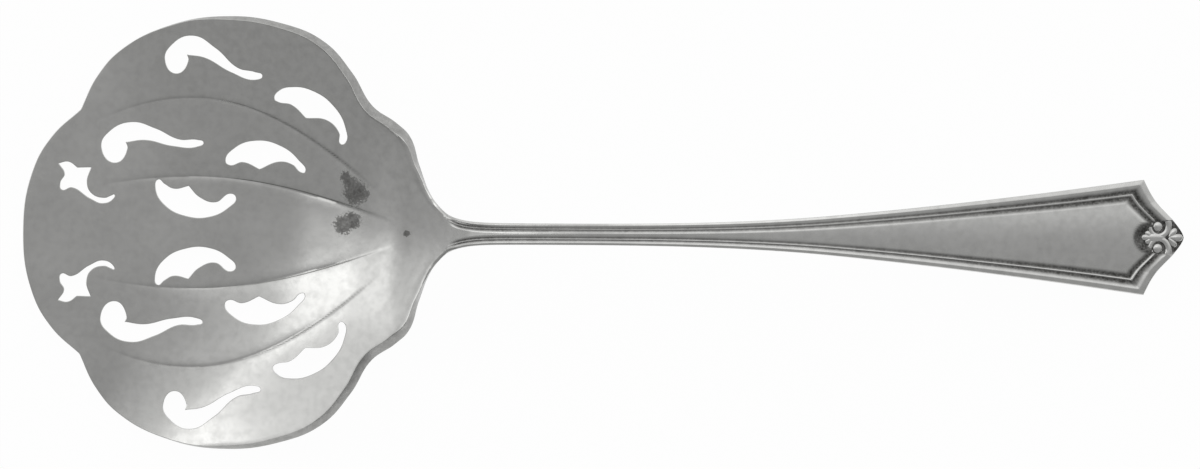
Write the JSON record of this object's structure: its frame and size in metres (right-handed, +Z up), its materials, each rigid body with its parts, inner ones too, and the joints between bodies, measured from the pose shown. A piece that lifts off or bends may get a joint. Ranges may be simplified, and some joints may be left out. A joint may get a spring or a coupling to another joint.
{
  "type": "tomato server",
  "caption": "Silver serving utensil for sliced tomatoes: a wide fluted bowl with pierced drain cut-outs on a slender arched handle with a threaded border and a scrolled tip.",
  "frame": {"origin": "middle of the bounding box in plan, on the table that the server rests on", "axes": "+X from the bowl to the handle's tip, +Y across the bowl, +Z up out of the bowl"},
  "size_m": [0.1972, 0.0734, 0.0259],
  "materials": {
    "bowl_silver": "aged sterling silver sheet with a soft polish",
    "handle_silver": "aged struck sterling silver with tarnish in the recesses",
    "silver_solder": "dull hard silver solder"
  },
  "bodies": {
    "root": {"pierced_bowl": "bowl_silver", "handle": "handle_silver", "solder_seam": "silver_solder"}
  },
  "joints": []
}
